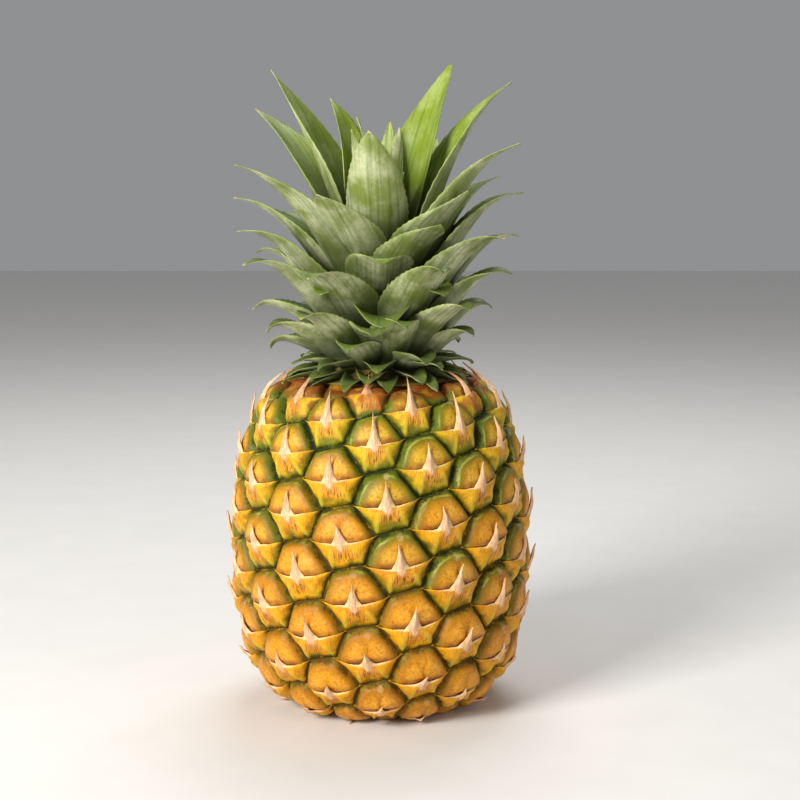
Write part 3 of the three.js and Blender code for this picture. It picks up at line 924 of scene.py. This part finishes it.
# %% Bend a slab into a leaf
LEAF_COLUMNS = 10
LEAF_ROWS = 40
LEAF_THICKNESS = 2.2
MARGIN_THICKNESS = 0.12
LEAF_TWIST = 9
LEAF_SWAY = 1.2
WAVE_HEIGHT = 1.3
ROOT_WIDTH = 0.8
BLUNT_ROOT_WIDTH = 0.62
NARROWEST_TIP = 0.012
ROOT_TROUGH = 0.75
TIP_TROUGH = 0.4
LEAF_BLUNTNESS = 2.2
BLUNT_LEAVES = {42: 2.7, 43: 2.5, 44: 2.5, 45: 2.8, 46: 2.5, 47: 2.6, 48: 2.6, 49: 2.6, 50: 3.2}
TOOTH = 0.22
FULLER = 1.16


def leaf_slab():
    form = bmesh.new()
    bmesh.ops.create_grid(form, x_segments=LEAF_COLUMNS, y_segments=LEAF_ROWS, size=1)
    for vert in form.verts:
        vert.co.y = (vert.co.y + 1) / 2
    bmesh.ops.solidify(form, geom=form.faces[:], thickness=1)
    middle = (max(vert.co.z for vert in form.verts) + min(vert.co.z for vert in form.verts)) / 2
    for vert in form.verts:
        vert.co.z = 1 if vert.co.z > middle else -1
    bmesh.ops.recalc_face_normals(form, faces=form.faces)
    mesh = bpy.data.meshes.new("leaf_slab")
    form.to_mesh(mesh)
    form.free()
    return mesh


def bend_leaf(form, plan, number, slab, thickness=LEAF_THICKNESS, bluntness=LEAF_BLUNTNESS):
    """Adds one leaf to a form, bent to its plan."""
    names = ("along", "beside", "across", "inner", "rank", "tone")
    layers = {name: form.verts.layers.float.get(name) or form.verts.layers.float.new(name) for name in names}
    facing = outward(plan["turn"])
    aside = facing.cross(Vector((0, 0, 1)))
    twist = math.radians(random.uniform(-LEAF_TWIST, LEAF_TWIST))
    sway = random.uniform(-LEAF_SWAY, LEAF_SWAY)
    tone = random.random()
    root_width = plan.get("root_width", ROOT_WIDTH)
    start = len(form.verts)
    form.from_mesh(slab)
    form.verts.ensure_lookup_table()
    for vert in form.verts[start:]:
        beside, share, face = vert.co.x, min(1.0, max(0.0, vert.co.y)), vert.co.z
        spot, step = leaf_line(plan, share)
        inward = Vector((0, 0, 1)) * step.x - facing * step.y
        taper = max(NARROWEST_TIP, (1 - share ** bluntness) ** 0.9)
        half = plan["width"] / 2 * FULLER * (root_width + (1 - root_width) * smooth(share, 0.0, 0.45))
        across = beside * half * taper
        row = round(share * LEAF_ROWS)
        if abs(beside) > 0.99 and 0 < row < LEAF_ROWS:
            across += math.copysign(TOOTH, beside) * (1 if row % 2 else -0.4) * min(1.0, 3 * taper)
        trough = (ROOT_TROUGH + (TIP_TROUGH - ROOT_TROUGH) * share) * across * across / half
        thick = thickness * (1 - 0.55 * share) * (1 - 0.8 * beside * beside) / 2 + MARGIN_THICKNESS
        wave = noise.noise(Vector((beside * 0.8, share * 3.2, number * 4.0)))
        wave = wave * WAVE_HEIGHT * share * (0.3 + beside * beside)
        turn = twist * share * share
        offset = aside * (across * math.cos(turn) + sway * share * share)
        offset += inward * (trough + across * math.sin(turn) + face * thick * min(1.0, 0.25 + taper) + wave)
        vert.co = facing * spot.x + Vector((0, 0, spot.y)) + offset
        vert[layers["along"]], vert[layers["beside"]], vert[layers["across"]] = share, beside, across
        vert[layers["inner"]], vert[layers["tone"]] = (face + 1) / 2, tone
        vert[layers["rank"]] = number / LEAF_COUNT


# %% [markdown]
# ## Finish of the leaves
# The outer face of a crown leaf is grey-green under a pale bloom with fine lines along
# the leaf, and the inner face is a fresher, glossier green with pale patches of painted
# sheen. Inner leaves of the crown are a brighter yellow-green, every leaf is darkened
# towards its base with painted shade and is paler at its margins, and the very tip dries
# to straw. The stem shares this finish as dull bark.

# %% Leaf finish
def leaf_finish():
    leaf = Finish("crown_leaf")
    place = leaf.coordinates()
    along, beside, inner = (leaf.attribute(name) for name in ("along", "beside", "inner"))
    rank, tone = leaf.attribute("rank"), leaf.attribute("tone")
    across = leaf.attribute("across")
    apart = leaf.math("MULTIPLY", tone, 40.0)
    on_leaf = leaf.add("ShaderNodeCombineXYZ", {"X": across, "Y": along, "Z": apart})
    lines = leaf.noise(leaf.stretched(on_leaf, (0.8, 1.8, 1.0)), 1.0, 2.0, 0.5)
    cloud = leaf.noise(place, 75.0, 4.0, 0.6)
    specks = leaf.noise(place, 700.0, 3.0, 0.6)

    outer_tint = leaf.mix(leaf.fade(rank, 0.5, 1.0), color(118, 128, 66), color(146, 160, 84))
    outer_tint = leaf.mix(leaf.fade(tone, 0, 1, 0, 0.5), outer_tint, color(100, 116, 40))
    bloom = leaf.math("MULTIPLY", leaf.fade(cloud, 0.36, 0.66), leaf.fade(specks, 0.35, 0.6, 0.7, 1.0))
    outer_tint = leaf.mix(leaf.math("MULTIPLY", bloom, 0.62), outer_tint, color(226, 228, 190))
    inner_tint = leaf.mix(leaf.fade(rank, 0.55, 0.85), color(88, 104, 40), color(134, 154, 42))
    # Painted sheen: pale patches on the inner face, stronger on the inner leaves of the crown.
    pale = leaf.math("MULTIPLY", leaf.fade(cloud, 0.4, 0.66, 0, 0.6), leaf.fade(rank, 0.5, 0.85, 0.3, 1.0))
    inner_tint = leaf.mix(pale, inner_tint, color(186, 200, 124))
    fresh = leaf.math("MULTIPLY", leaf.fade(tone, 0, 1, 0, 0.45), leaf.fade(rank, 0.3, 0.6))
    inner_tint = leaf.mix(fresh, inner_tint, color(124, 144, 36))
    tint = leaf.mix(inner, outer_tint, inner_tint)
    tint = leaf.mix(leaf.fade(lines, 0.42, 0.66, 0, 0.45), tint, color(66, 90, 30))
    edge = leaf.math("ABSOLUTE", beside)
    tint = leaf.mix(leaf.fade(edge, 0.92, 1.0, 0, 0.32), tint, color(168, 184, 96))
    # Painted shade: every leaf is darkened towards its base, where the leaves crowd together.
    tint = leaf.mix(leaf.fade(along, 0.6, 0.12, 0, 0.88), tint, color(36, 48, 14))
    tip_place = leaf.math("ADD", along, leaf.fade(cloud, 0.3, 0.7, -0.03, 0.03))
    tint = leaf.mix(leaf.fade(tip_place, 0.97, 1.0, 0, 0.9), tint, color(178, 170, 96))
    tint = leaf.mix(leaf.fade(specks, 0.63, 0.73, 0, 0.55), tint, color(120, 92, 40))

    bark = leaf.mix(leaf.fade(cloud, 0.35, 0.6), color(84, 62, 26), color(112, 104, 40))
    tint = leaf.mix(leaf.attribute("woody"), tint, bark)

    leaf.bump(lines, 0.3, 0.0004)
    gloss = leaf.math("ADD", leaf.fade(inner, 0, 1, 0.54, 0.44), leaf.fade(cloud, 0.3, 0.7, -0.05, 0.06))
    return leaf.set(Base_Color=tint, Roughness=gloss, Specular_IOR_Level=0.4)


crown_leaf = leaf_finish()

# %% Grow the crown
random.seed(23)
slab = leaf_slab()
leaf_faces = 0
for number in range(LEAF_COUNT):
    leaf_form = bmesh.new()
    plan = leaf_plan(number)
    if number in BLUNT_LEAVES:
        plan["root_width"] = BLUNT_ROOT_WIDTH
    bend_leaf(leaf_form, plan, number, slab, bluntness=BLUNT_LEAVES.get(number, LEAF_BLUNTNESS))
    leaf_faces += len(leaf_form.faces)
    name = f"{number + 1:02d}"
    finish_piece(leaf_form, "crown_leaf_" + name, crown_leaf, ["leaf_" + name])
print("leaves:", LEAF_COUNT, "with", leaf_faces, "faces")


# %% [markdown]
# ## Foot of the crown
# The stem is hidden between the leaves, a tapering shoot whose top still unfolds. Its
# foot carries a collar of small leaflets that lie on the fruit's shoulder, with their
# points turned down.

# %% Stem
STEM_FOOT = 145.8
STEM_TOP = 204.0
FOOT_SUNK = 0.9
STEM_LUMPS = 0.8
STEM_OUTLINE = (
    (33.5, STEM_FOOT - FOOT_SUNK), (34.0, STEM_FOOT - 0.3), (30.0, STEM_FOOT + 0.4), (25.0, 148.0),
    (20.0, 151.0), (18.5, 158.0), (16.5, 168.0), (13.0, 178.0), (9.5, 188.0), (6.0, 197.0), (3.0, 202.0),
)
STEM_SIDES = 40

stem_form = bmesh.new()
profile = [stem_form.verts.new((radius, 0, height)) for radius, height in STEM_OUTLINE]
profile.insert(0, stem_form.verts.new((0, 0, STEM_FOOT - FOOT_SUNK)))
profile.append(stem_form.verts.new((0, 0, STEM_TOP)))
stem_edges = [stem_form.edges.new(pair) for pair in zip(profile, profile[1:])]
bmesh.ops.spin(
    stem_form, geom=profile + stem_edges, cent=(0, 0, 0), axis=(0, 0, 1), angle=math.tau,
    steps=STEM_SIDES, use_merge=True)
bmesh.ops.remove_doubles(stem_form, verts=stem_form.verts, dist=0.01)
for vert in stem_form.verts:
    lumps = STEM_LUMPS if STEM_FOOT < vert.co.z < STEM_TOP - 1 else 0
    vert.co += noise.noise_vector(vert.co * 0.12) * lumps
bmesh.ops.recalc_face_normals(stem_form, faces=stem_form.faces)
stem_mesh = bpy.data.meshes.new("stem")
stem_form.to_mesh(stem_mesh)
stem_form.free()

# %% Collar leaflets
COLLAR_ROWS = (
    {"count": 13, "start": 8, "root_radius": 27, "root_height": 146.4, "root_slope": 8,
     "tip_radius": 43, "tip_height": 143.4, "width": 13},
    {"count": 10, "start": -9, "root_radius": 24, "root_height": 147.0, "root_slope": 22,
     "tip_radius": 41, "tip_height": 146.4, "width": 17},
    {"count": 9, "start": 3, "root_radius": 20, "root_height": 149.0, "root_slope": 38,
     "tip_radius": 41, "tip_height": 151.8, "width": 20},
)
LEAFLET_CURL = 0.45
LEAFLET_THICKNESS = 1.1
LEAFLET_BLUNTNESS = 0.8

foot_form = bmesh.new()
foot_form.from_mesh(stem_mesh)
bpy.data.meshes.remove(stem_mesh)
woody = foot_form.verts.layers.float.new("woody")
for vert in foot_form.verts:
    vert[woody] = 1.0
for row_number, collar_row in enumerate(COLLAR_ROWS):
    for leaflet in range(collar_row["count"]):
        plan = {name: value for name, value in collar_row.items() if name not in ("count", "start")}
        plan["turn"] = collar_row["start"] + 360 / collar_row["count"] * leaflet + random.uniform(-4, 4)
        plan["tip_radius"] *= random.uniform(0.95, 1.04)
        plan["tip_slope"], plan["curl_reach"] = random.uniform(-88, -70), LEAFLET_CURL
        number = leaflet * 2 + row_number
        bend_leaf(foot_form, plan, number, slab, LEAFLET_THICKNESS, LEAFLET_BLUNTNESS)
print("crown foot:", len(foot_form.faces), "faces")
finish_piece(foot_form, "crown_foot", crown_leaf, ["crown_stem"])
bpy.data.meshes.remove(slab)


# %% [markdown]
# ## Colour view
# The fine surface may stand only a little outside the frame. The Standard view shows
# the colours as they were mixed, without a film's soft curve.

# %% Write the sizes and finish
bpy.context.scene.view_settings.view_transform = "Standard"
